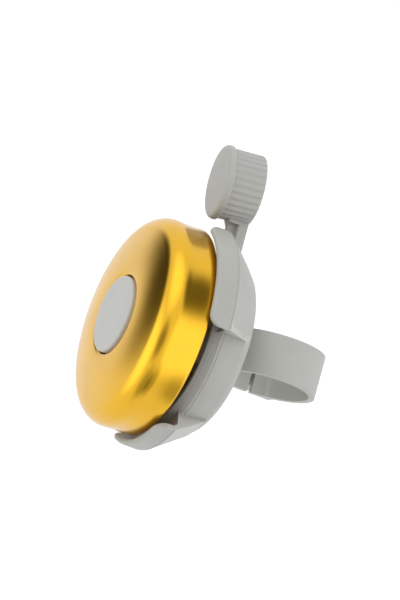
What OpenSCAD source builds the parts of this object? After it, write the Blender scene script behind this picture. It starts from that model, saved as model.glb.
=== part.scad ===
// Bicycle bell: an anodised dome over a plastic dish that clamps round a handlebar.
// A thumb lever's toothed sector turns an idler gear, and that spins a bar with two loose
// steel washers, which fly outwards and strike the inside of the dome.
// +Z runs up through the dome and +X along the handlebar towards the lever. The origin is
// where the handlebar's axis crosses the dome's axis.

/* [Dome] */
// Outer diameter of the dome's skirt
dome_d = 54; // [53.8:0.1:54.2]
// Thickness of the dome's wall
dome_wall = 1.1; // [1:0.05:1.15]
// Height of the dome's rim above the handlebar's axis
dome_rim_z = 29.2; // [29:0.1:29.3]
// Height of the highest ring of the dome's crown
dome_crown_z = 43.2; // [43.1:0.1:43.3]
// Diameter of the cap in the middle of the dome
cap_d = 19.8; // [19.4:0.1:20]
// Height of the cap's flat top
cap_top_z = 44; // [43.9:0.1:44.3]

/* [Base dish] */
// Height of the dish's flat back
back_z = 14.65; // [14.6:0.05:14.8]
// Thickness of the dish's floor
floor_h = 1.45; // [1.3:0.05:1.5]
// Diameter of the sharp ridge round the dish
ridge_d = 47.2; // [47:0.1:47.4]
// Height of the ridge
ridge_z = 23.65; // [23.6:0.05:23.8]
// Outer diameter of the dish's collar at its top
collar_d = 43.6; // [43.4:0.1:43.8]
// Height of the collar's top
collar_z = 26.1; // [26:0.1:26.3]
// Inner diameter of the dish
dish_bore_d = 41.2; // [41:0.1:41.4]
// Outer diameter of the lips that shield the dome's edge
lip_d = 59; // [58.8:0.1:59.2]
// Thickness of a lip
lip_wall = 1.6; // [1.4:0.05:1.7]
// Height of the lips' top edge
lip_top_z = 30.3; // [30.1:0.1:30.7]
// Bearing of the side lips' ends next to the lever
side_lip_near = 25; // [23:0.5:27]
// Bearing of the side lips' ends away from the lever
side_lip_far = 91.5; // [90:0.5:93]
// Half the angle that the tail lip covers
tail_lip_half = 29; // [28:0.5:30]

/* [Handlebar clamp] */
// Bore of the band before its screw is tightened
band_bore_d = 22.6; // [22.4:0.1:22.8]
// Thickness of the band
band_wall = 1.47; // [1.4:0.01:1.5]
// Width of the band along the handlebar
band_w = 10.95; // [10.8:0.05:11]
// Where the band starts along the handlebar
band_x = -4.1; // [-4.15:0.05:-4]
// Width of the slit that the screw closes
slit_w = 1.05; // [0.9:0.05:1.2]
// Height of the slit's upper face
slit_z = -0.45; // [-0.5:0.05:-0.4]
// Thread diameter of the clamp screw
clamp_screw_d = 4; // [3.9:0.1:4]

/* [Thumb lever] */
// Distance of the lever's pivot from the dome's axis along the handlebar
pivot_x = 16; // [15.95:0.05:16.05]
// Offset of the lever across the handlebar
lever_y = -5.9; // [-6:0.05:-5.8]
// Width of the lever's arm
arm_w = 3.2; // [3:0.1:3.3]
// Height of the arm's back edge
arm_z = 18.2; // [18:0.05:18.3]
// Depth of the arm
arm_h = 4.7; // [4.6:0.05:4.7]
// Angle that the lever swings through
lever_swing = 30; // [28:1:30]
// Distance of the button's centre from the dome's axis along the handlebar
button_x = 39.7; // [39.6:0.1:39.8]
// Diameter of the button
button_d = 18.8; // [18.6:0.1:19]
// Height of the button's back
button_z = 18.5; // [18.4:0.1:18.6]
// Depth of the button
button_h = 10.1; // [10:0.1:10.2]
// Number of grooves round the button
groove_count = 30; // [24:2:32]

/* [Gears] */
// Module of every gear
gear_module = 0.65; // [0.65:0.01:0.65]
// Pressure angle of every gear
pressure_a = 25; // [25:1:26]
// Teeth that the sector would have as a whole wheel
sector_teeth = 40; // [40:1:40]
// Teeth on the idler's small pinion
pinion_teeth = 10; // [10:1:10]
// Teeth on the idler's wheel
wheel_teeth = 24; // [24:1:24]
// Teeth on the striker's pinion
rotor_teeth = 10; // [10:1:10]
// Play between two meshing teeth along the pitch circle
backlash = 0.16; // [0.14:0.01:0.2]

/* [Striker] */
// Distance of each striker pin from the dome's axis
striker_r = 17.1; // [17:0.05:17.1]
// Outer diameter of a striker washer
washer_d = 14; // [13.8:0.1:14]
// Hole diameter of a striker washer
washer_hole_d = 7.2; // [7.1:0.1:7.3]
// Thickness of a striker washer
washer_h = 3.2; // [3:0.1:3.2]

/* [Hidden] */
$fn = 96;
eps = 0.01;         // overreach of a cutting shape
grip = 0.05;        // radial play of a running fit
rest_gap = 0.1;     // axial play of a turning piece
arc_steps = 16;     // straight pieces in a rounded stretch of a profile

// Dome outline
dome_r = dome_d / 2;
shoulder_r = 5.35;
shoulder_at = [dome_r - shoulder_r, dome_crown_z - 6.8];
shoulder_end_a = 75;
crown_r = 48;
crown_at = shoulder_at + (shoulder_r - crown_r) * [cos(shoulder_end_a), sin(shoulder_end_a)];
crown_inner_r = cap_d / 2 + 1.4;
rim_round = 0.45;
waist_depth = 0.18;
recess_r = cap_d / 2 + 0.3;
recess_z = dome_crown_z - 2;
dome_hole_r = 1.95;

// Dish, its floor and what stands on it
floor_z = back_z + floor_h;
dish_bore_r = dish_bore_d / 2;
ridge_r = ridge_d / 2;
lip_r = lip_d / 2;
side_foot_z = 24.9;     // ridge under a side lip's outer face
tail_foot_z = 26;       // ridge under the tail lip's outer face
lip_corner = 3;         // corner radius at a lip's ends
corner_rise = 0.05;     // how far that corner's circle stands out of the end and the top
lip_edge = 0.6;         // edge rounding along a lip's top

// Clamp
band_bore_r = band_bore_d / 2;
band_r = band_bore_r + band_wall;
ear_y = 12.9;           // flat outer face of the ears
ear_low_z = -7;
ear_high_z = 5.5;
screw_x = band_x + band_w / 2;
screw_y = 16;
screw_boss_w = 6.75;
screw_boss_end_y = 19.4;
screw_hole_r = clamp_screw_d / 2 + 0.15;
screw_head_r = 3.6;
screw_head_h = 2.6;
clamp_nut_r = 4.04;
clamp_nut_h = 3.2;
saddle_half = 6;        // half the saddle's depth across the handlebar
key_size = [5, 1.6, 1]; // lug that stops the band turning on the dish
key_y = 3.8;

// Centre post
shank_r = 2.4;
shank_head_r = 3;
shank_head_z = 12;
shank_head_h = 0.8;
post_flange_r = 4.2;
post_flange_h = 0.9;
post_foot_r = 2.8;
journal_r = 1.75;
journal_z = 19.3;       // shoulder that the striker's pinion runs on
post_top_z = cap_top_z - 0.9;

// Levels of the gear train
sector_z = 17.2;
sector_h = 2;
pinion_z = 17;
wheel_z = 19.6;
wheel_h = 1.8;
rotor_gear_h = 2.4;
rotor_z = journal_z + rest_gap;

// Gear geometry
addendum = 0.75 * gear_module;
dedendum = gear_module;
mesh_gap = 0.05;        // extra distance between the centres of two gears
wheel_spacing = pitch_r(wheel_teeth) + pitch_r(rotor_teeth) + mesh_gap;
sector_spacing = pitch_r(sector_teeth) + pitch_r(pinion_teeth) + mesh_gap;
pivot_at = [pivot_x, lever_y];
idler_a = atan2(lever_y, pivot_x)
    - corner_angle(norm(pivot_at), wheel_spacing, sector_spacing);
idler_at = polar(wheel_spacing, idler_a);
mesh_a = atan2(idler_at.y - lever_y, idler_at.x - pivot_x);
sector_tooth_count = 6;

// Lever, its pin and its spring
pin_r = 1.5;
hub_r = 3.2;
hub_z = floor_z + 0.5;
spring_hub_r = 2.5;
spring_hub_z = 25.9;    // top of the part of the hub that carries the spring
arm_top_z = arm_z + arm_h;
arm_end_x = button_x - 6.2;
web_start_x = 22.6;     // where the hollow in the arm's near side starts
web_w = 1.4;            // wall left beside that hollow
flange_h = 2.5;         // full-width flange under it
gusset = 0.8;
pad_lean = [-7, -4, 0]; // turn of the pad about its own centre
button_r = button_d / 2;
button_disc_h = 1.8;
barrel_inset = 0.5;
groove_r = 0.42;
idler_pin_r = 1.2;
idler_hub_r = 2.1;
idler_hub_h = 0.3;
wire_r = 0.35;
coil_r = 3;
coil_pitch = 0.75;
coil_z = arm_top_z + wire_r + 0.1;
coil_in_a = 67.6;       // bearing at which the lever's leg leaves the coil
coil_out_a = 22.6;      // bearing at which the dish's leg leaves the coil
coil_turn = 720 + 360 + coil_out_a - coil_in_a;
coil_steps = 54;
lever_leg = 4.9;
dish_leg = 7.6;
lug_r = 0.8;
lug_h = 1.8;
peg_r = 1;

// Striker
bar_z = 30;
bar_h = 1.2;
bar_w = 7;
neck_r = 2.6;           // neck of the pinion's sleeve that carries the bar
sleeve_r = 3.6;
striker_pin_r = 1.6;
striker_head_r = 4.2;
striker_head_h = 0.8;
washer_z = bar_z + bar_h + 0.2;
striker_head_z = washer_z + washer_h + 0.3;
clip_z = bar_z + bar_h + 2 * rest_gap;
clip_h = 0.5;
clip_groove_r = 1.35;

function polar(r, a) = [r * cos(a), r * sin(a)];
function arc(centre, r, from, to, steps = arc_steps) =
    [for (i = [0 : steps]) centre + polar(r, from + (to - from) * i / steps)];
// Angle at one corner of a triangle, from the two sides that meet there and the one across
function corner_angle(a, b, across) = acos((a * a + b * b - across * across) / (2 * a * b));

// Involute teeth: radii and the half angle of a tooth at radius r
function pitch_r(teeth) = gear_module * teeth / 2;
function base_r(teeth) = pitch_r(teeth) * cos(pressure_a);
function involute(a) = tan(a) * 180 / PI - a;
function half_tooth(teeth, r) = 90 / teeth - backlash / 4 / pitch_r(teeth) * 180 / PI
    + involute(pressure_a) - involute(acos(min(1, base_r(teeth) / r)));

// Outline of one tooth centred on bearing a, counterclockwise from root to root
function tooth(teeth, a) =
    let (tip = pitch_r(teeth) + addendum,
         root = pitch_r(teeth) - dedendum,
         foot = max(root, base_r(teeth)),
         radii = [for (k = [0 : 4]) foot + (tip - foot) * k / 4],
         foot_half = half_tooth(teeth, foot),
         has_foot = root < foot - eps)
    concat(has_foot ? [polar(root, a - foot_half)] : [],
        [for (k = [0 : 4]) polar(radii[k], a - half_tooth(teeth, radii[k]))],
        [for (k = [4 : -1 : 0]) polar(radii[k], a + half_tooth(teeth, radii[k]))],
        has_foot ? [polar(root, a + foot_half)] : []);
function tooth_row(teeth, phase, count) =
    [for (i = [0 : count - 1], p = tooth(teeth, phase + i * 360 / teeth)) p];

module gear(teeth, phase, h) {
    linear_extrude(h) polygon(tooth_row(teeth, phase, teeth));
}

module ring(outer_r, inner_r, h) {
    difference() {
        cylinder(r = outer_r, h = h);
        translate([0, 0, -eps]) cylinder(r = inner_r, h = h + 2 * eps);
    }
}

module hex_nut(corner_r, bore_r, h) {
    difference() {
        cylinder(r = corner_r, h = h, $fn = 6);
        translate([0, 0, -eps]) cylinder(r = bore_r, h = h + 2 * eps);
    }
}

// A disc whose upper edge is rounded
module rounded_disc(r, h, edge) {
    rotate_extrude()
        polygon(concat([[0, 0], [r, 0]], arc([r - edge, h - edge], edge, 0, 90, 8), [[0, h]]));
}

module dome() {
    inner_shoulder = shoulder_r - dome_wall;
    inner_crown = crown_r - dome_wall;
    skirt_foot_z = dome_rim_z + rim_round;
    skirt_h = shoulder_at.y - skirt_foot_z;
    crown_stop_a = acos((crown_inner_r - crown_at.x) / crown_r);
    inner_stop_a = acos((recess_r + dome_wall - crown_at.x) / inner_crown);
    skirt = [for (i = [0 : 8])
        [dome_r - waist_depth * sin(180 * i / 8), skirt_foot_z + skirt_h * i / 8]];
    color([0.9, 0.66, 0.16]) rotate_extrude() polygon(concat(
        [[dome_r - dome_wall, dome_rim_z]],
        arc([dome_r - rim_round, skirt_foot_z], rim_round, -90, -12, 5),
        skirt,
        arc(shoulder_at, shoulder_r, 5, shoulder_end_a),
        arc(crown_at, crown_r, shoulder_end_a + 1, crown_stop_a, 10),
        [[recess_r + 0.15, dome_crown_z - 0.45], [recess_r, dome_crown_z - 0.8],
            [recess_r, recess_z], [dome_hole_r, recess_z],
            [dome_hole_r, recess_z - dome_wall], [recess_r + dome_wall, recess_z - dome_wall]],
        arc(crown_at, inner_crown, inner_stop_a, shoulder_end_a + 1, 10),
        arc(shoulder_at, inner_shoulder, shoulder_end_a, 0)));
}

module dome_cap() {
    h = cap_top_z - recess_z;
    color([0.77, 0.77, 0.75]) translate([0, 0, recess_z]) difference() {
        rounded_disc(cap_d / 2, h, 0.5);
        translate([0, 0, -eps]) cylinder(r = 4.6, h = post_top_z - recess_z + 0.1);
    }
}

module dome_nut() {
    color("silver") translate([0, 0, recess_z])
        hex_nut(4, journal_r, post_top_z - recess_z - 0.2);
}

module dome_washer() {
    color("dimgray") translate([0, 0, recess_z - dome_wall - 0.7]) ring(4.5, journal_r, 0.7);
}

module support_nut() {
    color("silver") translate([0, 0, recess_z - dome_wall - 0.7 - 2.4])
        hex_nut(3.8, journal_r, 2.4);
}

// Solid of revolution of the centre post: peened foot, flange, journal and threaded top
module centre_post() {
    color("lightsteelblue") difference() {
        rotate_extrude() polygon([[0, shank_head_z], [shank_head_r, shank_head_z],
            [shank_head_r, shank_head_z + shank_head_h], [shank_r, shank_head_z + shank_head_h],
            [shank_r, floor_z], [post_flange_r, floor_z],
            [post_flange_r, floor_z + post_flange_h], [post_foot_r, floor_z + post_flange_h],
            [post_foot_r, journal_z], [journal_r, journal_z],
            [journal_r, clip_z], [clip_groove_r, clip_z],
            [clip_groove_r, clip_z + clip_h], [journal_r, clip_z + clip_h],
            [journal_r, post_top_z - 0.4], [journal_r - 0.4, post_top_z], [0, post_top_z]]);
    }
}

// Open retaining ring in the post's groove
module rotor_clip() {
    color("silver") translate([0, 0, clip_z]) difference() {
        ring(3.1, clip_groove_r, clip_h);
        translate([0, -1.1, -eps]) cube([4, 2.2, clip_h + 2 * eps]);
    }
}

// Revolved outline of the dish: flat back, wall with a sharp ridge, collar and floor
function dish_profile() = [[0, back_z], [20.2, back_z], [21.3, back_z + 0.7],
    [22.5, back_z + 1.95], [23, back_z + 4.2], [ridge_r - 0.1, ridge_z - 0.75],
    [ridge_r - 0.3, ridge_z - 0.55], [ridge_r - 0.3, ridge_z - 0.3], [ridge_r, ridge_z],
    [collar_d / 2, collar_z], [dish_bore_r, collar_z], [dish_bore_r, floor_z], [0, floor_z]];

// Section of a lip: a cone that leaves the dish's wall and a shield round the dome's edge
function lip_profile(foot_z) = concat(
    [[21.6, back_z + 1.6], [23.5, back_z + 2.95],
        [lip_r - 0.5, foot_z - 1], [lip_r - 0.15, foot_z - 0.6],
        [lip_r - 0.3, foot_z - 0.4], [lip_r - 0.3, foot_z - 0.2], [lip_r, foot_z]],
    arc([lip_r - lip_edge, lip_top_z - lip_edge], lip_edge, 0, 90, 6),
    arc([lip_r - lip_wall + 0.4, lip_top_z - 0.4], 0.4, 90, 180, 4),
    [[lip_r - lip_wall, side_foot_z + 0.6], [lip_r - lip_wall - 0.8, side_foot_z - 0.2],
        [ridge_r - 1, ridge_z + 0.6], [21.6, ridge_z + 0.6]]);

module lip(from, to, foot_z) {
    difference() {
        rotate([0, 0, from]) rotate_extrude(angle = to - from) polygon(lip_profile(foot_z));
        lip_corner_cut(from, 1);
        lip_corner_cut(to, -1);
    }
}

// What rounds off the upper corner at a lip's end; side says which way the lip lies
module lip_corner_cut(bearing, side) {
    rotate([0, 0, bearing]) translate([lip_r - lip_wall - 1, 0, lip_top_z])
        rotate([90, 0, 90]) linear_extrude(lip_wall + 2) difference() {
            translate([side > 0 ? -0.5 : -lip_corner, -lip_corner])
                square([lip_corner + 0.5, lip_corner + 0.5]);
            translate([side * (lip_corner - corner_rise), corner_rise - lip_corner])
                circle(lip_corner);
        }
}

// Open-topped notch that the arm drops into and swings in, bounded by its two end positions
module lever_notch() {
    reach = arm_w / 2 + 0.45;
    far_edge = pivot_at + reach * [-sin(lever_swing), cos(lever_swing)];
    function on_far_edge(x) = [x, far_edge.y + (x - far_edge.x) * tan(lever_swing)];
    foot_z = arm_z - 0.35;
    translate([0, 0, foot_z]) linear_extrude(collar_z + 1 - foot_z)
        polygon([[18, lever_y - reach], [33, lever_y - reach], on_far_edge(33),
            on_far_edge(18)]);
}

// Where the dish's leg of the spring bears, on the inner side of the leg
function peg_at() = pivot_at + polar(coil_r - peg_r - wire_r - 0.02, coil_out_a)
    + (dish_leg - 1) * polar(1, coil_out_a + 90);
function lug_at() = pivot_at + polar(coil_r - lug_r - wire_r - 0.02, coil_in_a)
    + (lever_leg - 1) * polar(1, coil_in_a - 90);

module base_housing() {
    color([0.7, 0.7, 0.67]) difference() {
        union() {
            rotate_extrude() polygon(dish_profile());
            lip(-side_lip_far, -side_lip_near, side_foot_z);
            lip(side_lip_near, side_lip_far, side_foot_z);
            lip(180 - tail_lip_half, 180 + tail_lip_half, tail_foot_z);
            translate([pivot_at.x, pivot_at.y, floor_z - eps])
                cylinder(r = 2.8, h = hub_z - rest_gap - floor_z + eps);
            translate([idler_at.x, idler_at.y, floor_z - eps])
                cylinder(r = 2.2, h = pinion_z - rest_gap - floor_z + eps);
            translate([peg_at().x, peg_at().y, floor_z - eps])
                cylinder(r = peg_r, h = collar_z - floor_z);
        }
        lever_notch();
        translate([pivot_at.x, pivot_at.y, back_z - 1]) cylinder(r = pin_r, h = 5);
        translate([idler_at.x, idler_at.y, back_z - 1]) cylinder(r = idler_pin_r, h = 5);
        translate([0, 0, back_z - 1]) cylinder(r = shank_r, h = 5);
        translate([-key_size.x / 2, key_y, back_z - eps])
            cube(key_size + [0, 0, eps]);
    }
}

module clamp_band() {
    boss_x = screw_x - screw_boss_w / 2;
    color([0.68, 0.68, 0.65]) difference() {
        union() {
            translate([band_x, 0, 0]) rotate([90, 0, 90]) linear_extrude(band_w)
                polygon([[8, 6.4], [ear_y - 1.2, ear_high_z + 0.4], [ear_y, ear_high_z - 0.8],
                    [ear_y, ear_low_z], [8, ear_low_z - 0.9]]);
            translate([band_x, 0, 0]) rotate([0, 90, 0]) cylinder(r = band_r, h = band_w);
            translate([band_x, -saddle_half, 8])
                cube([band_w, 2 * saddle_half, back_z - 8]);
            translate([boss_x, 11.5, ear_low_z])
                cube([screw_boss_w, screw_boss_end_y - 11.5, ear_high_z - ear_low_z]);
            translate([-key_size.x / 2, key_y, back_z - eps]) cube(key_size + [0, 0, eps]);
        }
        translate([band_x - 1, 0, 0]) rotate([0, 90, 0])
            cylinder(r = band_bore_r, h = band_w + 2);
        translate([band_x - 1, 5, slit_z - slit_w]) cube([band_w + 2, 20, slit_w]);
        translate([screw_x, screw_y, ear_low_z - 1]) cylinder(r = screw_hole_r, h = 14);
        translate([0, 0, 8]) cylinder(r = shank_r, h = 8);
        translate([0, 0, 8]) cylinder(r = shank_head_r, h = shank_head_z + shank_head_h - 8);
    }
}

module clamp_screw() {
    head_z = ear_low_z - screw_head_h;
    color([0.83, 0.75, 0.42]) translate([screw_x, screw_y, 0]) difference() {
        union() {
            translate([0, 0, ear_low_z]) mirror([0, 0, 1])
                rounded_disc(screw_head_r, screw_head_h, 0.9);
            translate([0, 0, ear_low_z - eps])
                cylinder(r = clamp_screw_d / 2, h = ear_high_z + clamp_nut_h + 1 - ear_low_z);
        }
        translate([-0.5, -screw_head_r - 1, head_z - eps]) cube([1, 2 * screw_head_r + 2, 1.3]);
        translate([-screw_head_r - 1, -0.5, head_z - eps]) cube([2 * screw_head_r + 2, 1, 1.3]);
    }
}

module clamp_nut() {
    color([0.83, 0.75, 0.42]) translate([screw_x, screw_y, ear_high_z])
        hex_nut(clamp_nut_r, clamp_screw_d / 2, clamp_nut_h);
}

// Headed pin from the dish's floor up through a turning piece
module headed_pin(r, top_z, head_r, head_h) {
    translate([0, 0, back_z + 0.2]) cylinder(r = r, h = top_z - back_z - 0.2 + eps);
    translate([0, 0, top_z]) rounded_disc(head_r, head_h, 0.3);
}

module lever_pin() {
    color("silver") translate([pivot_at.x, pivot_at.y, 0])
        headed_pin(pin_r, spring_hub_z + 0.6, 2.5, 0.7);
}

module lever_washer() {
    color("dimgray") translate([pivot_at.x, pivot_at.y, spring_hub_z + 0.1])
        ring(2.9, pin_r + grip, 0.4);
}

// Bar from the pivot into the pad, with a small gusset under the pad
module arm_blank() {
    pad_edge_x = button_x - button_r + barrel_inset;
    translate([0, lever_y + arm_w / 2, 0]) rotate([90, 0, 0]) linear_extrude(arm_w)
        polygon([[pivot_x, arm_z], [arm_end_x, arm_z], [arm_end_x, arm_top_z],
            [pad_edge_x + 1, arm_top_z], [pad_edge_x, arm_top_z + gusset],
            [pad_edge_x - 2 * gusset, arm_top_z], [pivot_x, arm_top_z]]);
}

// Arm with its hollowed near side, hub, toothed sector and the lug that the spring pushes on
module thumb_lever() {
    color([0.69, 0.69, 0.66]) difference() {
        union() {
            translate([pivot_at.x, pivot_at.y, hub_z]) cylinder(r = hub_r, h = arm_top_z - hub_z);
            translate([pivot_at.x, pivot_at.y, hub_z])
                cylinder(r = spring_hub_r, h = spring_hub_z - hub_z);
            arm_blank();
            translate([pivot_at.x, pivot_at.y, sector_z]) linear_extrude(sector_h)
                polygon(concat([[0, 0]], tooth_row(sector_teeth,
                    mesh_a - (sector_tooth_count - 1) * 360 / sector_teeth,
                    sector_tooth_count)));
            translate([lug_at().x, lug_at().y, arm_top_z - eps]) cylinder(r = lug_r, h = lug_h);
        }
        translate([pivot_at.x, pivot_at.y, hub_z - 1])
            cylinder(r = pin_r + grip, h = spring_hub_z - hub_z + 2);
        translate([web_start_x, lever_y - arm_w, arm_z + flange_h])
            cube([button_x - button_r - web_start_x, arm_w * 1.5 - web_w, arm_h]);
    }
}

// Round pad with a smooth front disc and a grooved barrel behind it, leaning a little
module thumb_button() {
    barrel_r = button_r - barrel_inset;
    barrel_h = button_h - button_disc_h;
    color([0.72, 0.72, 0.7]) difference() {
        translate([button_x, lever_y, button_z + button_h / 2]) rotate(pad_lean)
            translate([0, 0, -button_h / 2]) {
                difference() {
                    rotate_extrude() polygon([[0, 0], [barrel_r - 0.5, 0], [barrel_r, 0.5],
                        [barrel_r, barrel_h + eps], [0, barrel_h + eps]]);
                    for (i = [0 : groove_count - 1]) rotate([0, 0, 360 * (i + 0.5) / groove_count])
                        translate([barrel_r + 0.1, 0, -1]) cylinder(r = groove_r, h = barrel_h + 1);
                }
                translate([0, 0, barrel_h]) rounded_disc(button_r, button_disc_h, 0.9);
            }
        arm_blank();
    }
}

// Torsion spring: a straight leg to the lever's lug, the coil, and a leg to the dish's peg
module return_spring() {
    sides = 8;
    lever_tip = polar(coil_r, coil_in_a) + lever_leg * polar(1, coil_in_a - 90);
    dish_tip = polar(coil_r, coil_out_a) + dish_leg * polar(1, coil_out_a + 90);
    coil_h = coil_pitch * coil_turn / 360;
    path = concat([[lever_tip.x, lever_tip.y, 0]],
        [for (i = [0 : coil_steps]) let (p = polar(coil_r, coil_in_a + coil_turn * i / coil_steps))
            [p.x, p.y, coil_h * i / coil_steps]],
        [[dish_tip.x, dish_tip.y, coil_h]]);
    last = len(path) - 1;
    function along(i) = let (d = path[min(i + 1, last)] - path[max(i - 1, 0)]) d / norm(d);
    function outward(i) = let (d = cross(along(i), [0, 0, 1])) d / norm(d);
    points = [for (i = [0 : last], k = [0 : sides - 1])
        let (u = outward(i), v = cross(u, along(i)))
        path[i] + wire_r * (u * cos(360 * k / sides) + v * sin(360 * k / sides))];
    walls = [for (i = [0 : last - 1], k = [0 : sides - 1])
        let (next = (k + 1) % sides)
        [i * sides + k, i * sides + next, (i + 1) * sides + next, (i + 1) * sides + k]];
    ends = [[for (k = [sides - 1 : -1 : 0]) k], [for (k = [0 : sides - 1]) last * sides + k]];
    color("gainsboro") translate([pivot_at.x, pivot_at.y, coil_z])
        polyhedron(points, concat(walls, ends), 4);
}

module idler_pin() {
    color("silver") translate([idler_at.x, idler_at.y, 0])
        headed_pin(idler_pin_r, wheel_z + wheel_h + idler_hub_h + 0.6, 2.2, 0.6);
}

module idler_washer() {
    color("dimgray")
        translate([idler_at.x, idler_at.y, wheel_z + wheel_h + idler_hub_h + rest_gap])
        ring(2.4, idler_pin_r + grip, 0.4);
}

// Pinion driven by the sector, with the wheel that drives the striker above it
module idler_gear() {
    color("whitesmoke") translate([idler_at.x, idler_at.y, 0]) difference() {
        union() {
            translate([0, 0, pinion_z])
                gear(pinion_teeth, mesh_a + 180 + 180 / pinion_teeth, wheel_z - pinion_z + eps);
            translate([0, 0, wheel_z]) gear(wheel_teeth, idler_a + 180, wheel_h);
            translate([0, 0, wheel_z]) cylinder(r = idler_hub_r, h = wheel_h + idler_hub_h);
        }
        translate([0, 0, pinion_z - 1]) cylinder(r = idler_pin_r + grip, h = 8);
    }
}

// Pinion on the centre post, with the sleeve that carries the striker bar
module rotor_pinion() {
    sleeve_z = rotor_z + rotor_gear_h;
    color("whitesmoke") difference() {
        union() {
            translate([0, 0, rotor_z])
                gear(rotor_teeth, idler_a + 180 / rotor_teeth, rotor_gear_h + eps);
            translate([0, 0, sleeve_z]) cylinder(r = sleeve_r, h = bar_z - sleeve_z);
            translate([0, 0, sleeve_z]) cylinder(r = neck_r, h = bar_z + bar_h - sleeve_z + rest_gap);
        }
        translate([0, 0, rotor_z - 1]) cylinder(r = journal_r + grip, h = 20);
    }
}

module striker_bar() {
    color("silver") translate([0, 0, bar_z]) difference() {
        union() {
            translate([-bar_w / 2, -striker_r, 0]) cube([bar_w, 2 * striker_r, bar_h]);
            for (side = [-1, 1]) translate([0, side * striker_r, 0])
                cylinder(r = bar_w / 2, h = bar_h);
            cylinder(r = 6.5, h = bar_h);
        }
        translate([0, 0, -1]) cylinder(r = neck_r, h = bar_h + 2);
        for (side = [-1, 1]) translate([0, side * striker_r, -1])
            cylinder(r = striker_pin_r, h = bar_h + 2);
    }
}

module striker_pins() {
    color("silver") for (side = [-1, 1]) translate([0, side * striker_r, 0]) {
        translate([0, 0, bar_z]) cylinder(r = striker_pin_r, h = striker_head_z - bar_z + eps);
        translate([0, 0, striker_head_z]) rounded_disc(striker_head_r, striker_head_h, 0.4);
    }
}

module striker_washer(side) {
    color([0.6, 0.62, 0.65]) translate([0, side * striker_r, washer_z])
        ring(washer_d / 2, washer_hole_d / 2, washer_h);
}
module striker_washer_a() { striker_washer(1); }
module striker_washer_b() { striker_washer(-1); }

base_housing();
clamp_band();
clamp_screw();
clamp_nut();
centre_post();
rotor_clip();
support_nut();
dome_washer();
dome();
dome_nut();
dome_cap();
lever_pin();
lever_washer();
thumb_lever();
thumb_button();
return_spring();
idler_pin();
idler_washer();
idler_gear();
rotor_pinion();
striker_bar();
striker_pins();
striker_washer_a();
striker_washer_b();
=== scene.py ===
"""Bicycle bell: smooth shells, moulded dish, grooved thumb pad and finishes round a fixed frame."""

import math

import bmesh
import bpy
from mathutils import Matrix, Vector


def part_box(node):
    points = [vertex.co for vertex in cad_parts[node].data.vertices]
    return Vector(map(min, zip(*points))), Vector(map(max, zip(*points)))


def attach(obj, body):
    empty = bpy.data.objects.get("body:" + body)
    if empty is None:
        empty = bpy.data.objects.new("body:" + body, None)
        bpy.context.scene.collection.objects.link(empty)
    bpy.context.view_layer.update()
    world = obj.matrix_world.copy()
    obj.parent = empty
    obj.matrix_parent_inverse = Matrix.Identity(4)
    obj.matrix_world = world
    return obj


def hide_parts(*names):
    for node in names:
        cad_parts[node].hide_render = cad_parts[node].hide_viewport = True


bl_info = {
    "name": "Bicycle Bell",
    "version": (1, 0, 0),
    "blender": (4, 5, 0),
    "location": "View3D > Sidebar > Bell",
    "description": "Builds a thumb-lever bicycle bell with its finishes and a small studio",
    "category": "Add Mesh",
}

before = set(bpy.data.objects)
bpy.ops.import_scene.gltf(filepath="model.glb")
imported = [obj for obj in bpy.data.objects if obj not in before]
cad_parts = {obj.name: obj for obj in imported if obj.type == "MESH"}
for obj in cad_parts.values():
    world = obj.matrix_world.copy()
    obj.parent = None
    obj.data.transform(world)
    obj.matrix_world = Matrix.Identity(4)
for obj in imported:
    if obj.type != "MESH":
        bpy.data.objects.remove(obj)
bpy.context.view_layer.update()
MM = 0.001
ROUND_STEPS = 160
FLAT_ANGLE = 0.6  # degrees: faces closer than this are merged into one
EDGE_ANGLE = 25  # degrees: outer edges sharper than this are bevelled


def top(node):
    """Height of a frame node's highest point."""
    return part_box(node)[1][2]


def foot(node):
    """Height of a frame node's lowest point."""
    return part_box(node)[0][2]


def half_width(node):
    """Half of a frame node's size along the handlebar."""
    low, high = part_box(node)
    return (high[0] - low[0]) / 2


# ---------------------------------------------------------------- settings


def length(name, text, default):
    return bpy.props.FloatProperty(
        name=name, description=text, default=default, unit="LENGTH", precision=5)


def colour(name, text, default):
    return bpy.props.FloatVectorProperty(
        name=name, description=text, default=default, subtype="COLOR", size=3, min=0, max=1)


class BellSizes(bpy.types.PropertyGroup):
    """Sizes that a user would change."""

    dome_wall: length("Dome wall", "Thickness of the dome's metal", 1.1 * MM)
    shoulder: length("Shoulder", "Radius of the dome's shoulder", 5.35 * MM)
    crown: length("Crown", "Radius of the dome's nearly flat crown", 48 * MM)
    waist: length("Waist", "How far the dome's skirt draws in", 0.18 * MM)
    lip_wall: length("Lip wall", "Thickness of the dish's lips", 1.6 * MM)
    lip_corner: length("Lip corner", "Corner radius at the ends of the lips", 3 * MM)
    band_round: length("Band edge", "Rounding along the clamp band's edges", 0.32 * MM)
    pad_radius: length("Pad radius", "Radius of the thumb pad's front disc", 9.4 * MM)
    pad_depth: length("Pad depth", "Thickness of the thumb pad", 10.1 * MM)
    groove_depth: length("Groove depth", "Depth of the thumb pad's grooves", 0.3 * MM)


class BellColours(bpy.types.PropertyGroup):
    """Colours that a user would change."""

    gold: colour("Gold", "Anodised dome", (0.95, 0.53, 0.012))
    grey: colour("Grey", "Moulded dish, band, lever and pad", (0.43, 0.43, 0.405))
    cap_grey: colour("Cap grey", "Cap in the middle of the dome", (0.56, 0.56, 0.54))
    steel: colour("Steel", "Bright plated small parts", (0.62, 0.63, 0.65))
    zinc: colour("Yellow zinc", "Plated clamp screw and nut", (0.72, 0.58, 0.2))
    ivory: colour("Ivory", "Gears", (0.78, 0.77, 0.7))


# ---------------------------------------------------------------- outlines


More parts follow.
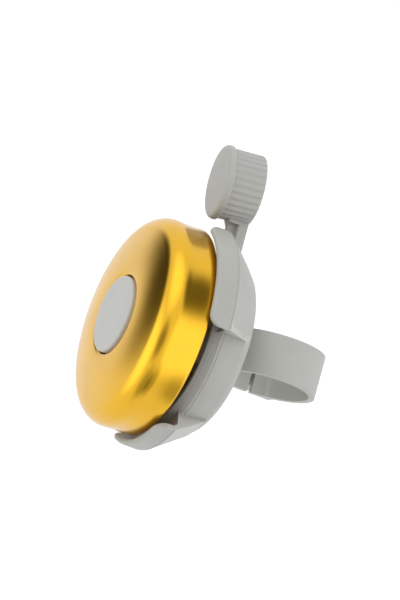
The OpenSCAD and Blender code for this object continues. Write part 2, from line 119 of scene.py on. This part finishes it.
def arc(centre, radius, start, end, steps):
    """Points on an arc, angles in degrees."""
    found = []
    for i in range(steps + 1):
        a = math.radians(start + (end - start) * i / steps)
        found.append((centre[0] + radius * math.cos(a), centre[1] + radius * math.sin(a)))
    return found


def softened(corners, steps=5):
    """An outline from (across, up, corner radius) points, with each corner rounded."""
    flat = [Vector(c[:2]) for c in corners]
    found = []
    for i, corner in enumerate(corners):
        radius = corner[2] if len(corner) > 2 else 0
        if radius == 0 or i in (0, len(corners) - 1):
            found.append(tuple(flat[i]))
            continue
        back = (flat[i - 1] - flat[i]).normalized()
        ahead = (flat[i + 1] - flat[i]).normalized()
        half = math.acos(max(-1, min(1, back.dot(ahead)))) / 2
        middle = flat[i] + (back + ahead).normalized() * radius / math.sin(half)
        first = (flat[i] + back * radius / math.tan(half) - middle).normalized()
        last = (flat[i] + ahead * radius / math.tan(half) - middle).normalized()
        for k in range(steps + 1):
            found.append(tuple(middle + radius * first.slerp(last, k / steps)))
    return found


# ---------------------------------------------------------------- mesh tools


def chain(bm, outline, closed, bearing=0.0):
    """Adds an outline in the upright plane at a bearing; returns its vertices and edges."""
    turn = Matrix.Rotation(math.radians(bearing), 3, "Z")
    verts = [bm.verts.new(turn @ Vector((r, 0, z))) for r, z in outline]
    pairs = list(zip(verts, verts[1:]))
    if closed:
        pairs.append((verts[-1], verts[0]))
    return verts, [bm.edges.new(p) for p in pairs]


def turned(bm, outline, closed=True, start=0.0, end=360.0, steps=ROUND_STEPS):
    """Spins an outline about the dome's axis from one bearing to another."""
    verts, edges = chain(bm, outline, closed, start)
    bmesh.ops.spin(
        bm, geom=verts + edges, cent=(0, 0, 0), axis=(0, 0, 1),
        angle=math.radians(end - start), steps=steps, use_merge=abs(end - start) > 359.9)


def tidy(bm):
    """Merges doubled points and turns every face outwards."""
    bmesh.ops.remove_doubles(bm, verts=bm.verts, dist=0.002 * MM)
    bmesh.ops.dissolve_degenerate(bm, edges=bm.edges, dist=0.001 * MM)
    bmesh.ops.recalc_face_normals(bm, faces=bm.faces)


def made(bm, name, sharp=32):
    """Turns a bmesh into a smooth-shaded object with sharp edges above an angle in degrees."""
    mesh = bpy.data.meshes.new(name)
    for face in bm.faces:
        face.smooth = True
    bm.to_mesh(mesh)
    bm.free()
    mesh.set_sharp_from_angle(angle=math.radians(sharp))
    piece = bpy.data.objects.new(name, mesh)
    bpy.context.collection.objects.link(piece)
    return piece


def bevel_edges(bm, edges, width, segments=3):
    bmesh.ops.bevel(
        bm, geom=edges, offset=width, offset_type="OFFSET", affect="EDGES",
        segments=segments, profile=0.5, material=-1, clamp_overlap=True)


def drum(bm, radius, low, high, at=(0, 0), edge=0.2 * MM, steps=48):
    """Adds an upright cylinder whose two rims are bevelled."""
    place = Matrix.Translation((at[0], at[1], (low + high) / 2))
    found = bmesh.ops.create_cone(
        bm, cap_ends=True, segments=steps, radius1=radius, radius2=radius,
        depth=high - low, matrix=place)
    rims = {e for v in found["verts"] for e in v.link_edges
            if abs(e.verts[0].co.z - e.verts[1].co.z) < 1e-7}
    bevel_edges(bm, list(rims), edge, 2)


def finished_copy(node, width):
    """A copy of a frame node, merged, with its sharp outer edges bevelled."""
    bm = bmesh.new()
    bm.from_mesh(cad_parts[node].data)
    bmesh.ops.remove_doubles(bm, verts=bm.verts, dist=0.001 * MM)
    bmesh.ops.dissolve_limit(
        bm, angle_limit=math.radians(FLAT_ANGLE), verts=bm.verts, edges=bm.edges,
        use_dissolve_boundaries=False)
    edges = [e for e in bm.edges if len(e.link_faces) == 2
             and e.calc_face_angle_signed(0) > math.radians(EDGE_ANGLE)]
    bevel_edges(bm, edges, width, 2)
    return made(bm, node + "_finished", 35)


def placed(piece, body, node, material):
    """Rides a piece on its body, hides the frame node it stands for, and finishes it."""
    piece.data.materials.clear()
    piece.data.materials.append(material)
    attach(piece, body)
    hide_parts(node)


def painted(nodes, material):
    """Gives frame nodes a finish."""
    for name in nodes:
        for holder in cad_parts[name].material_slots:
            holder.material = material


# ---------------------------------------------------------------- finishes


def node(tree, kind, inputs=None, **settings):
    """Adds a shader node; inputs are values or the outputs that feed them."""
    made_node = tree.nodes.new("ShaderNode" + kind)
    for name, value in settings.items():
        setattr(made_node, name, value)
    for name, value in (inputs or {}).items():
        socket = made_node.inputs[name]
        if isinstance(value, bpy.types.NodeSocket):
            tree.links.new(value, socket)
        else:
            socket.default_value = value
    return made_node


def material_with(name):
    """A material with an empty Principled surface; returns it, its tree and its shader."""
    material = bpy.data.materials.new(name)
    material.use_nodes = True
    tree = material.node_tree
    return material, tree, tree.nodes["Principled BSDF"]


def place_of(tree):
    return node(tree, "TexCoord").outputs["Object"]


def noise(tree, vector, scale, detail=3.0, roughness=0.5):
    return node(tree, "TexNoise", {
        "Vector": vector, "Scale": scale, "Detail": detail, "Roughness": roughness}
    ).outputs["Fac"]


def spread(tree, value, low, high, start=0.3, end=0.7):
    """Maps a pattern's middle range to a wanted range."""
    return node(tree, "MapRange", {
        "Value": value, "From Min": start, "From Max": end, "To Min": low, "To Max": high}
    ).outputs["Result"]


def maths(tree, operation, first, second=0.0):
    return node(tree, "Math", {0: first, 1: second}, operation=operation).outputs[0]


def tinted(tree, amount, first, second):
    """Mixes two colours by a pattern."""
    mix = node(tree, "Mix", {0: amount, 6: (*first, 1), 7: (*second, 1)}, data_type="RGBA")
    return mix.outputs[2]


def lifted(tree, height, distance, strength=1.0, under=None):
    """A bump of a height in metres, on top of another."""
    inputs = {"Height": height, "Distance": distance, "Strength": strength}
    if under is not None:
        inputs["Normal"] = under
    return node(tree, "Bump", inputs).outputs["Normal"]


def shade(base, factor):
    return tuple(min(1, c * factor) for c in base)


def lathe_lines(tree, scale):
    """Fine rings round the dome's axis: a pattern of the radius and the height alone."""
    parts = node(tree, "SeparateXYZ", {"Vector": place_of(tree)}).outputs
    square = maths(tree, "ADD", maths(tree, "MULTIPLY", parts["X"], parts["X"]),
                   maths(tree, "MULTIPLY", parts["Y"], parts["Y"]))
    radius = maths(tree, "SQRT", square)
    across = node(tree, "CombineXYZ", {"X": radius, "Y": 0.0, "Z": parts["Z"]}).outputs[0]
    return noise(tree, across, scale, 4.0, 0.6)


def anodised(name, base):
    """Satin anodised aluminium: fine turned rings, cloudy sheen and a clear oxide skin."""
    material, tree, shader = material_with(name)
    place = place_of(tree)
    rings = lathe_lines(tree, 5200.0)
    clouds = noise(tree, place, 90.0, 3.0)
    grain = noise(tree, place, 14000.0, 2.0)
    tone = tinted(tree, spread(tree, clouds, 0.0, 1.0), shade(base, 0.95), shade(base, 1.05))
    tree.links.new(tone, shader.inputs["Base Color"])
    rough = maths(tree, "ADD", spread(tree, rings, 0.18, 0.23), spread(tree, clouds, -0.015, 0.015))
    tree.links.new(rough, shader.inputs["Roughness"])
    shader.inputs["Metallic"].default_value = 1.0
    shader.inputs["Coat Weight"].default_value = 0.55
    shader.inputs["Coat Roughness"].default_value = 0.15
    shader.inputs["Coat IOR"].default_value = 1.55
    bump = lifted(tree, grain, 0.004 * MM, 0.5)
    tree.links.new(lifted(tree, rings, 0.003 * MM, 0.4, bump), shader.inputs["Normal"])
    return material


def moulded(name, base, roughness=0.42, grain_height=0.012):
    """Satin moulded plastic: spark-eroded grain, faint flow clouds and a painted highlight that
    makes the convex edges paler.
    """
    material, tree, shader = material_with(name)
    place = place_of(tree)
    clouds = noise(tree, place, 70.0, 4.0)
    grain = noise(tree, place, 6500.0, 3.0, 0.6)
    dust = noise(tree, place, 900.0, 5.0, 0.65)
    edge = node(tree, "NewGeometry").outputs["Pointiness"]
    # Painted highlight: convex edges, picked by pointiness, are mixed towards a paler grey.
    painted_edge_highlight = spread(tree, edge, 0.0, 1.0, 0.5, 0.62)
    body = tinted(tree, spread(tree, clouds, 0.0, 1.0), shade(base, 0.96), shade(base, 1.04))
    mix = node(tree, "Mix", {0: painted_edge_highlight, 6: body, 7: (*shade(base, 1.22), 1)}, data_type="RGBA")
    tree.links.new(mix.outputs[2], shader.inputs["Base Color"])
    tree.links.new(maths(tree, "ADD", spread(tree, dust, roughness - 0.05, roughness + 0.06),
                         spread(tree, grain, -0.02, 0.02)), shader.inputs["Roughness"])
    shader.inputs["IOR"].default_value = 1.49
    bump = lifted(tree, grain, grain_height * MM, 0.5)
    tree.links.new(lifted(tree, dust, 0.01 * MM, 0.25, bump), shader.inputs["Normal"])
    return material


def plated(name, base, roughness=0.28, scale=2600.0):
    """Plated steel: faint drawn marks, small pits and a clouded shine."""
    material, tree, shader = material_with(name)
    place = place_of(tree)
    clouds = noise(tree, place, 260.0, 4.0)
    marks = noise(tree, node(tree, "Mapping", {"Vector": place, "Scale": (1, 1, 0.12)}).outputs[0],
                  scale, 4.0, 0.6)
    tone = tinted(tree, spread(tree, clouds, 0.0, 1.0), shade(base, 0.86), shade(base, 1.08))
    tree.links.new(tone, shader.inputs["Base Color"])
    tree.links.new(maths(tree, "ADD", spread(tree, marks, roughness - 0.06, roughness + 0.1),
                         spread(tree, clouds, -0.03, 0.03)), shader.inputs["Roughness"])
    shader.inputs["Metallic"].default_value = 1.0
    tree.links.new(lifted(tree, marks, 0.012 * MM, 0.4), shader.inputs["Normal"])
    return material


def rubbery(name):
    """Black fibre and rubber washer."""
    material, tree, shader = material_with(name)
    grain = noise(tree, place_of(tree), 3800.0, 5.0, 0.7)
    tone = tinted(tree, spread(tree, grain, 0.0, 1.0), (0.02, 0.02, 0.02), (0.05, 0.05, 0.048))
    tree.links.new(tone, shader.inputs["Base Color"])
    tree.links.new(spread(tree, grain, 0.62, 0.82), shader.inputs["Roughness"])
    tree.links.new(lifted(tree, grain, 0.03 * MM, 0.6), shader.inputs["Normal"])
    return material


# ---------------------------------------------------------------- operators


class BellOperator:
    """Shared parts of every operator here."""

    bl_options = {"REGISTER"}

    @property
    def sizes(self):
        return bpy.context.scene.bell_sizes

    @property
    def colours(self):
        return bpy.context.scene.bell_colours


class BELL_OT_dome(BellOperator, bpy.types.Operator):
    """Spins the anodised dome and the plastic cap in its dished middle"""

    bl_idname = "bell.dome"
    bl_label = "Dome and cap"

    def execute(self, context):
        bm = bmesh.new()
        turned(bm, self.dome_outline())
        tidy(bm)
        placed(made(bm, "dome_shell"), "bell_body", "dome",
               anodised("gold anodised aluminium", self.colours.gold))
        bm = bmesh.new()
        turned(bm, self.cap_outline())
        tidy(bm)
        placed(made(bm, "dome_cap_disc"), "bell_body", "dome_cap",
               moulded("cap plastic", self.colours.cap_grey, 0.36, 0.006))
        return {"FINISHED"}

    def dome_outline(self):
        sizes = self.sizes
        radius, rim, crown_z = half_width("dome"), foot("dome"), top("dome")
        wall, shoulder = sizes.dome_wall, sizes.shoulder
        centre = (radius - shoulder, crown_z - 6.8 * MM)
        turn = math.radians(75)
        hub = (centre[0] + (shoulder - sizes.crown) * math.cos(turn),
               centre[1] + (shoulder - sizes.crown) * math.sin(turn))
        well, well_z = half_width("dome_cap") + 0.2 * MM, foot("dome_cap")
        crown_end = math.degrees(math.acos((well + 1.1 * MM - hub[0]) / sizes.crown))
        under = sizes.crown - wall
        under_end = math.degrees(math.acos((well + 1.7 * MM - hub[0]) / under))
        rim_round = 0.5 * MM
        low, high = rim + rim_round, centre[1]
        skirt = [(radius - sizes.waist * math.sin(math.pi * i / 14), low + (high - low) * i / 14)
                 for i in range(1, 14)]
        lip = softened([
            (well + 1.1 * MM, crown_z), (well + 0.25 * MM, crown_z - 0.12 * MM, 0.5 * MM),
            (well, crown_z - 1.4 * MM)], 6)
        return (arc((radius - wall + 0.3 * MM, rim + 0.3 * MM), 0.3 * MM, 180, 270, 3)
                + arc((radius - rim_round, low), rim_round, -90, 0, 6) + skirt
                + arc(centre, shoulder, 0, 75, 26)
                + arc(hub, sizes.crown, 76, crown_end, 14) + lip[1:-1]
                + [(well, well_z + 0.2 * MM), (well - 0.2 * MM, well_z), (1.95 * MM, well_z),
                   (1.95 * MM, well_z - wall), (well + wall, well_z - wall)]
                + arc(hub, under, under_end, 76, 10) + arc(centre, shoulder - wall, 75, 0, 14))

    def cap_outline(self):
        radius, low, high = half_width("dome_cap"), foot("dome_cap"), top("dome_cap")
        pocket = 4.6 * MM
        return softened([
            (pocket, low), (radius, low, 0.15 * MM), (radius, high, 0.62 * MM),
            (radius - 2 * MM, high), (0, high)], 6) + [
            (0, high - 0.8 * MM), (pocket, high - 0.8 * MM)]


class BELL_OT_dish(BellOperator, bpy.types.Operator):
    """Builds the moulded dish: its wall sector by sector, the three lips and the inner studs"""

    bl_idname = "bell.dish"
    bl_label = "Dish"

    notch_end = 1.6  # bearing in degrees at which the lever's notch ends

    def execute(self, context):
        self.back = foot("base_housing")
        self.floor = self.back + 1.45 * MM
        self.sill_z = self.back + 2.6 * MM
        self.lip_radius = -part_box("base_housing")[0][1]
        self.lip_top = top("base_housing")
        bm = bmesh.new()
        corner = math.degrees(self.sizes.lip_corner / self.lip_radius)
        side_foot, tail_foot = self.back + 10.25 * MM, self.back + 11.35 * MM
        lips = ((-91.5, -25.0, side_foot), (25.0, 91.5, side_foot), (151.0, 209.0, tail_foot))
        self.sector(bm, lips[0][1], self.notch_end, self.sill())
        self.sector(bm, self.notch_end, lips[1][0], self.plain())
        self.sector(bm, lips[1][1], lips[2][0], self.plain())
        self.sector(bm, lips[2][1] - 360, lips[0][0], self.plain())
        for start, end, foot_z in lips:
            section = self.lipped(foot_z)
            self.sector(bm, start, start + corner, section, 8)
            self.sector(bm, start + corner, end - corner, section)
            self.sector(bm, end - corner, end, section, 8)
        bmesh.ops.remove_doubles(bm, verts=bm.verts, dist=0.003 * MM)
        self.round_corners(bm, lips, corner)
        open_edges = [e for e in bm.edges if len(e.link_faces) == 1]
        ends = bmesh.ops.holes_fill(bm, edges=open_edges, sides=0)["faces"]
        tidy(bm)
        self.soften_ends(bm)
        for name, radius, height in (("lever_pin", 2.8, 0.4), ("idler_pin", 2.2, 0.8)):
            low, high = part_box(name)
            at = ((low[0] + high[0]) / 2, (low[1] + high[1]) / 2)
            drum(bm, radius * MM, self.floor - 0.3 * MM, self.floor + height * MM, at, 0.1 * MM)
        drum(bm, 1.0 * MM, self.floor - 0.3 * MM, self.floor + 10 * MM, self.peg_place(), 0.2 * MM)
        placed(made(bm, "dish_moulding", 40), "bell_body", "base_housing",
               bpy.data.materials["grey plastic"])
        return {"FINISHED"}

    def peg_place(self):
        """Where the spring's long leg bears, from the spring's own box."""
        low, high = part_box("return_spring")
        return (low[0] + 2.25 * MM, high[1] - 0.55 * MM)

    def sector(self, bm, start, end, outline, steps=None):
        """One stretch of wall between two bearings."""
        steps = steps or max(1, round((end - start) / 360 * ROUND_STEPS))
        turned(bm, outline, False, start, end, steps)

    def inside(self):
        """Outline from the floor up the bore and over the collar."""
        bore, collar = 20.6 * MM, self.back + 11.45 * MM
        return softened([
            (18 * MM, self.floor), (bore, self.floor, 0.5 * MM), (bore, self.sill_z),
            (bore, collar, 0.25 * MM),
            (21.8 * MM, collar, 0.3 * MM), (22.1 * MM, collar - 0.41 * MM)], 4)

    def outside(self):
        """Outline round the foot of the wall to the flat back."""
        back = self.back
        return softened([
            (22.5 * MM, back + 1.95 * MM), (21.3 * MM, back + 0.72 * MM, 0.9 * MM),
            (20.1 * MM, back, 1.2 * MM), (18 * MM, back)], 4)

    def ridged(self):
        """Outline down the ribbed cone, over the ridge and the groove under it."""
        back = self.back
        collar, ridge = back + 11.45 * MM, back + 9.0 * MM
        cone = []
        for i in range(3):
            r = (22.35 + 0.38 * i) * MM
            z = collar - (r - 21.8 * MM) * 1.36
            cone += [(r, z), (r + 0.02 * MM, z - 0.1 * MM), (r + 0.12 * MM, z - 0.12 * MM)]
        edge = softened([
            cone[-1], (23.6 * MM, ridge, 0.07 * MM), (23.32 * MM, ridge - 0.22 * MM, 0.06 * MM),
            (23.32 * MM, ridge - 0.45 * MM, 0.06 * MM), (23.52 * MM, ridge - 0.7 * MM, 0.12 * MM),
            (23.42 * MM, back + 6 * MM, 6 * MM), (22.95 * MM, back + 3.8 * MM, 1.5 * MM),
            (22.65 * MM, self.sill_z), (22.5 * MM, back + 1.95 * MM)], 4)
        return cone[:-1] + edge[:-1]

    def plain(self):
        return self.inside() + self.ridged() + self.outside()

    def sill(self):
        """Section under the lever's open notch."""
        low = [p for p in self.inside() if p[1] <= self.sill_z and p[0] < 21 * MM]
        return low + [(22.65 * MM, self.sill_z)] + self.outside()

    def lipped(self, foot_z):
        """Section through a lip: shield, bead and the cone behind it."""
        radius, high, bend_z = self.lip_radius, self.lip_top, self.back + 10.25 * MM
        inner = radius - self.sizes.lip_wall
        shield = softened([
            (22.1 * MM, self.back + 11.04 * MM), (22.7 * MM, self.back + 9.95 * MM, 0.3 * MM),
            (inner - 0.9 * MM, bend_z - 0.2 * MM, 0.5 * MM), (inner, bend_z + 0.8 * MM, 0.5 * MM),
            (inner + 0.1 * MM, high, 0.55 * MM), (radius - 0.05 * MM, high, 0.85 * MM),
            (radius, foot_z, 0.1 * MM), (radius - 0.28 * MM, foot_z - 0.18 * MM, 0.06 * MM),
            (radius - 0.28 * MM, foot_z - 0.38 * MM, 0.06 * MM),
            (radius - 0.12 * MM, foot_z - 0.62 * MM, 0.15 * MM),
            (radius - 0.62 * MM, foot_z - 1.15 * MM, 0.5 * MM),
            (23.6 * MM, self.back + 3.05 * MM, 2 * MM), (22.5 * MM, self.back + 1.95 * MM)], 5)
        return self.inside() + shield[1:-1] + self.outside()

    def round_corners(self, bm, lips, corner):
        """Draws the upper corners at each lip's ends into quarter rounds."""
        start_z = self.lip_top - self.sizes.lip_corner
        for vert in bm.verts:
            radius = math.hypot(vert.co.x, vert.co.y)
            bearing = math.degrees(math.atan2(vert.co.y, vert.co.x)) % 360
            for start, end, _ in lips:
                inside = (bearing - start + 0.01) % 360
                reach = end - start
                if inside > reach + 0.02:
                    continue
                away = min(inside - 0.01, reach - (inside - 0.01))
                if away >= corner - 0.001 or radius < 19 * MM:
                    continue
                share = max(0, away / corner)
                new_away = corner * (1 - math.cos(share * math.pi / 2))
                side = 1 if inside < reach / 2 else -1
                turn = math.radians(side * (new_away - away))
                vert.co = Matrix.Rotation(turn, 3, "Z") @ vert.co
                if vert.co.z > start_z and radius > 26 * MM:
                    rise = max(0.05, math.sin(share * math.pi / 2))
                    vert.co.z = start_z + (vert.co.z - start_z) * rise

    def soften_ends(self, bm):
        """Bevels the edges round the upright faces at the lips' ends."""
        edges = []
        for face in bm.faces:
            upright = abs(face.normal.z) < 0.01 and len(face.verts) > 12
            if upright:
                edges += [e for e in face.edges if len(e.link_faces) == 2
                          and e.calc_face_angle_signed(0) > math.radians(40)
                          and e.verts[0].co.xy.length > 23.8 * MM]
        if edges:
            bevel_edges(bm, list(set(edges)), 0.22 * MM, 2)


class BELL_OT_clamp(BellOperator, bpy.types.Operator):
    """Rounds the clamp band's edges and finishes its screw and nut"""

    bl_idname = "bell.clamp"
    bl_label = "Clamp"

    def execute(self, context):
        grey = bpy.data.materials["grey plastic"]
        placed(finished_copy("clamp_band", self.sizes.band_round), "bell_body", "clamp_band",
               grey)
        zinc = plated("yellow zinc", self.colours.zinc, 0.24)
        painted(["clamp_screw", "clamp_nut"], zinc)
        return {"FINISHED"}


class BELL_OT_lever(BellOperator, bpy.types.Operator):
    """Builds the thumb lever and its grooved pad"""

    bl_idname = "bell.lever"
    bl_label = "Thumb lever"

    pad_middle = (39.7, -5.9, 23.55)  # in millimetres
    pad_lean = (-7, -4)  # degrees about the handlebar's direction, then across it
    flutes = 30
    flute_width = 0.75  # share of the pitch that a flute takes up

    def execute(self, context):
        grey = bpy.data.materials["grey plastic"]
        arm = finished_copy("thumb_lever", 0.18 * MM)
        placed(arm, "lever", "thumb_lever", grey)
        placed(self.pad(), "lever", "thumb_button", grey)
        return {"FINISHED"}

    def pad(self):
        """A smooth disc on a softly fluted barrel, leaning with the arm."""
        radius, depth = self.sizes.pad_radius, self.sizes.pad_depth
        barrel, disc_back = radius - 0.5 * MM, depth / 2 - 1.8 * MM
        outline = softened([
            (0, -depth / 2), (barrel - 0.1 * MM, -depth / 2, 0.35 * MM),
            (barrel, disc_back, 0.2 * MM), (radius, disc_back, 0.25 * MM),
            (radius, depth / 2, 1.1 * MM),
            (radius - 1.6 * MM, depth / 2), (radius / 2, depth / 2), (0, depth / 2)], 6)
        rows = []
        for first, second in zip(outline, outline[1:]):
            rows.append(first)
            if abs(second[1] - first[1]) > 2 * MM:
                rows += [(first[0] + (second[0] - first[0]) * t,
                          first[1] + (second[1] - first[1]) * t) for t in (0.1, 0.5, 0.9)]
        rows.append(outline[-1])
        bm = bmesh.new()
        turned(bm, rows, False, steps=self.flutes * 10)
        for vert in bm.verts:
            reach = vert.co.xy.length
            if reach < barrel - 0.6 * MM or vert.co.z > disc_back - 0.05 * MM:
                continue
            phase = math.degrees(math.atan2(vert.co.y, vert.co.x)) * self.flutes / 360 % 1
            off = abs(phase - 0.5) * 2
            share = math.cos(math.pi / 2 * min(1, off / self.flute_width)) ** 2
            vert.co.xy *= (reach - self.sizes.groove_depth * share) / reach
        tidy(bm)
        place = Matrix.Translation(Vector(self.pad_middle) * MM) @ Matrix.Rotation(
            math.radians(self.pad_lean[1]), 4, "Y") @ Matrix.Rotation(
            math.radians(self.pad_lean[0]), 4, "X")
        bmesh.ops.transform(bm, verts=bm.verts, matrix=place)
        return made(bm, "thumb_pad", 38)


class BELL_OT_works(BellOperator, bpy.types.Operator):
    """Finishes the posts, fasteners, gears, spring and striker inside the bell"""

    bl_idname = "bell.works"
    bl_label = "Works"

    def execute(self, context):
        steel = plated("bright plated steel", self.colours.steel)
        painted(["centre_post", "rotor_clip", "support_nut", "dome_nut", "lever_pin",
                 "lever_washer", "idler_pin", "idler_washer", "striker_bar", "striker_pins"], steel)
        painted(["striker_washer_a", "striker_washer_b"],
                plated("tumbled steel", shade(self.colours.steel, 0.8), 0.4, 1500.0))
        wire = plated("drawn spring wire", shade(self.colours.steel, 0.9), 0.22)
        painted(["return_spring"], wire)
        painted(["idler_gear", "rotor_pinion"], moulded("gear plastic", self.colours.ivory, 0.38))
        painted(["dome_washer"], rubbery("washer rubber"))
        return {"FINISHED"}


class BELL_OT_finishes(BellOperator, bpy.types.Operator):
    """Makes the grey plastic that several pieces share"""

    bl_idname = "bell.finishes"
    bl_label = "Shared finishes"

    def execute(self, context):
        moulded("grey plastic", self.colours.grey)
        return {"FINISHED"}


class BELL_OT_stage(BellOperator, bpy.types.Operator):
    """Sets the pale floor, the soft studio light and the camera"""

    bl_idname = "bell.stage"
    bl_label = "Stage"

    azimuth, elevation, roll = -13.47, 21.03, 69.77
    distance = 3.364
    frame_width = 0.1478
    room_light = 0.88
    # right of and above the camera, full and fading radius in degrees, change of brightness
    patches = (
        (-75, 5, 8, 32, 0.6), (-22, 58, 8, 36, 0.55), (42, -22, 14, 42, 0.5),
        (-118, 31, 8, 24, -0.85), (-25, 2, 6, 24, -0.6), (-38, -46, 6, 26, -0.5),
        (62, 28, 10, 30, -0.75), (5, -60, 6, 24, -0.45))

    def execute(self, context):
        az, el, roll = (math.radians(v) for v in (self.azimuth, self.elevation, self.roll))
        towards = Vector((math.sin(az) * math.cos(el), -math.cos(az) * math.cos(el), math.sin(el)))
        level = Vector((math.cos(az), math.sin(az), 0))
        upright = towards.cross(level)
        self.right = math.cos(roll) * level - math.sin(roll) * upright
        self.up = math.sin(roll) * level + math.cos(roll) * upright
        self.towards = towards
        self.centre = Vector((0, 0, foot("dome"))) + 8.64 * MM * self.right + 7.99 * MM * self.up
        self.camera(context)
        self.floor()
        self.world(context)
        return {"FINISHED"}

    def camera(self, context):
        data = bpy.data.cameras.new("view")
        data.sensor_width = 36
        data.lens = data.sensor_width * self.distance / self.frame_width
        data.clip_end = 20
        camera = bpy.data.objects.new("view", data)
        turn = Matrix((self.right, self.up, self.towards)).transposed().to_4x4()
        camera.matrix_world = Matrix.Translation(self.centre + self.distance * self.towards) @ turn
        bpy.context.collection.objects.link(camera)
        context.scene.camera = camera

    def floor(self):
        bm = bmesh.new()
        bmesh.ops.create_grid(bm, x_segments=1, y_segments=1, size=3)
        bmesh.ops.translate(bm, verts=bm.verts, vec=(0, 0, foot("clamp_screw") - 90 * MM))
        floor = made(bm, "floor")
        material, tree, shader = material_with("pale floor")
        cloud = noise(tree, place_of(tree), 6.0, 2.0)
        tree.links.new(tinted(tree, cloud, (0.9, 0.9, 0.9), (0.94, 0.94, 0.94)),
                       shader.inputs["Base Color"])
        shader.inputs["Roughness"].default_value = 0.9
        shader.inputs["Emission Color"].default_value = (1, 1, 1, 1)
        shader.inputs["Emission Strength"].default_value = 0.25
        floor.data.materials.append(material)
        floor.visible_glossy = False

    def aimed(self, azimuth, elevation):
        """A direction given in degrees to the right of and above the line to the camera."""
        az, el = math.radians(azimuth), math.radians(elevation)
        return (math.sin(az) * math.cos(el) * self.right + math.sin(el) * self.up
                + math.cos(az) * math.cos(el) * self.towards)

    def world(self, context):
        """A pale room with soft windows and soft dark corners round the object."""
        world = bpy.data.worlds.new("studio")
        world.use_nodes = True
        tree = world.node_tree
        direction = node(tree, "TexCoord").outputs["Generated"]
        level = self.room_light
        for azimuth, elevation, inner, outer, change in self.patches:
            facing = node(tree, "VectorMath", {0: direction, 1: self.aimed(azimuth, elevation)},
                          operation="DOT_PRODUCT").outputs["Value"]
            patch = node(tree, "MapRange", {
                "Value": facing, "From Min": math.cos(math.radians(outer)),
                "From Max": math.cos(math.radians(inner)), "To Min": 0.0, "To Max": change},
                interpolation_type="SMOOTHSTEP").outputs["Result"]
            level = maths(tree, "ADD", patch, level)
        background = tree.nodes["Background"].inputs
        tree.links.new(maths(tree, "MAXIMUM", level, 0.03), background["Strength"])
        background["Color"].default_value = (1, 1, 1, 1)
        context.scene.world = world
        context.scene.view_settings.view_transform = "Standard"


STEPS = ("finishes", "dome", "dish", "clamp", "lever", "works", "stage")


class BELL_PT_panel(bpy.types.Panel):
    """Lists the bell's settings and its steps"""

    bl_label = "Bicycle Bell"
    bl_space_type = "VIEW_3D"
    bl_region_type = "UI"
    bl_category = "Bell"

    def draw(self, context):
        for group in (context.scene.bell_sizes, context.scene.bell_colours):
            for name in group.__annotations__:
                self.layout.prop(group, name)
        for step in STEPS:
            self.layout.operator("bell." + step)


CLASSES = (BellSizes, BellColours, BELL_OT_finishes, BELL_OT_dome, BELL_OT_dish, BELL_OT_clamp,
           BELL_OT_lever, BELL_OT_works, BELL_OT_stage, BELL_PT_panel)


def register():
    for item in CLASSES:
        bpy.utils.register_class(item)
    bpy.types.Scene.bell_sizes = bpy.props.PointerProperty(type=BellSizes)
    bpy.types.Scene.bell_colours = bpy.props.PointerProperty(type=BellColours)


def unregister():
    del bpy.types.Scene.bell_colours
    del bpy.types.Scene.bell_sizes
    for item in reversed(CLASSES):
        bpy.utils.unregister_class(item)


def main():
    register()
    for step in STEPS:
        getattr(bpy.ops.bell, step)()


if __name__ == "__main__":
    main()
